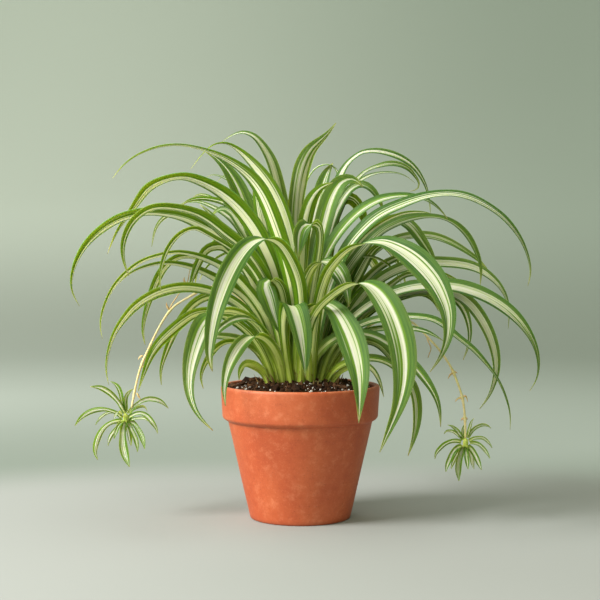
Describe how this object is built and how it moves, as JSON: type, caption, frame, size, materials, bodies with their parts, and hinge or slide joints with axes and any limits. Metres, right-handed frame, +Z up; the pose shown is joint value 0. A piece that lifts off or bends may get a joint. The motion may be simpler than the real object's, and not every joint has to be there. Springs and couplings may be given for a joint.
{
  "type": "potted spider plant",
  "caption": "Potted spider plant: arching striped leaves rise from a crown in soil and two hanging runners carry plantlets, in a tapered clay pot with a rim band",
  "frame": {"origin": "middle of the pot's underside, on the surface the pot stands on", "axes": "+Z up, +X along the widest spread of the leaves (to the right seen from the front), the front of the plant faces -Y"},
  "size_m": [0.4257, 0.3197, 0.3708],
  "materials": {
    "clay": "matte unglazed terracotta with a faint pale bloom",
    "soil": "matte dark potting mix with bark bits and white grains",
    "leaf": "satin leaf, green margins with a cream middle stripe",
    "crown": "satin pale green leaf bases",
    "runner": "satin straw-yellow stem with dry tan bracts"
  },
  "bodies": {
    "root": {"crown": "crown", "leaf_back_01": "leaf", "leaf_back_02": "leaf", "leaf_back_03": "leaf", "leaf_back_04": "leaf", "leaf_back_05": "leaf", "leaf_back_06": "leaf", "leaf_back_07": "leaf", "leaf_left_01": "leaf", "leaf_left_02": "leaf", "leaf_left_03": "leaf", "leaf_left_04": "leaf", "leaf_left_05": "leaf", "leaf_left_06": "leaf", "leaf_left_07": "leaf", "leaf_left_08": "leaf", "leaf_left_09": "leaf", "leaf_left_10": "leaf", "leaf_left_11": "leaf", "leaf_left_12": "leaf", "leaf_left_13": "leaf", "leaf_left_14": "leaf", "leaf_left_15": "leaf", "leaf_left_16": "leaf", "leaf_left_17": "leaf", "leaf_left_18": "leaf", "leaf_left_19": "leaf", "leaf_right_01": "leaf", "leaf_right_02": "leaf", "leaf_right_03": "leaf", "leaf_right_04": "leaf", "leaf_right_05": "leaf", "leaf_right_06": "leaf", "leaf_right_07": "leaf", "leaf_right_08": "leaf", "leaf_right_09": "leaf", "leaf_right_10": "leaf", "leaf_right_11": "leaf", "leaf_right_12": "leaf", "leaf_right_13": "leaf", "leaf_right_14": "leaf", "leaf_right_15": "leaf", "leaf_right_16": "leaf", "leaf_right_17": "leaf", "leaf_right_18": "leaf", "leaf_right_19": "leaf", "leaf_right_20": "leaf", "plantlet_left": "leaf", "plantlet_right": "leaf", "pot": "clay", "runner_left": "runner", "runner_right": "runner", "soil": "soil"}
  },
  "joints": []
}
